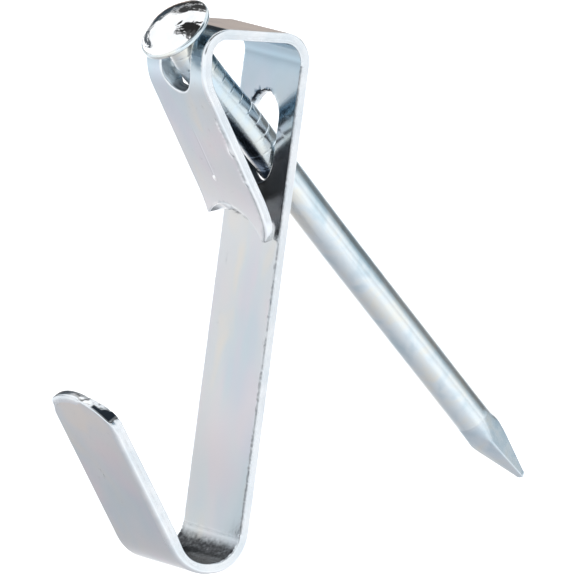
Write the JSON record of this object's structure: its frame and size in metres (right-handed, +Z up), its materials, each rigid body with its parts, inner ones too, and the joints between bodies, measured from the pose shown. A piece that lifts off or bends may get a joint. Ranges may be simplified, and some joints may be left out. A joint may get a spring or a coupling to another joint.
{
  "type": "picture hanger",
  "caption": "Picture hanger of bent plated strip with an open hook at its foot, held to a wall by a domed nail that slants down through the folded top.",
  "frame": {"origin": "on the strip's back face, where the nail's axis enters the wall", "axes": "+X across the strip, +Y into the wall, square to the strip's back face, and +Z up the wall"},
  "size_m": [0.0064, 0.0369, 0.0365],
  "materials": {
    "strip_plate": "bright zinc plate, lightly clouded, satin",
    "nail_plate": "bright zinc plate, polished on the head, satin on the shank"
  },
  "bodies": {
    "hanger": {"hanger_strip": "strip_plate"},
    "nail": {"nail": "nail_plate"}
  },
  "joints": [
    {"name": "nail_slide", "type": "slide", "parent": "hanger", "child": "nail", "axis": [0, -0.7564, 0.6541], "range_m": [-0.0004, 0.04]}
  ]
}
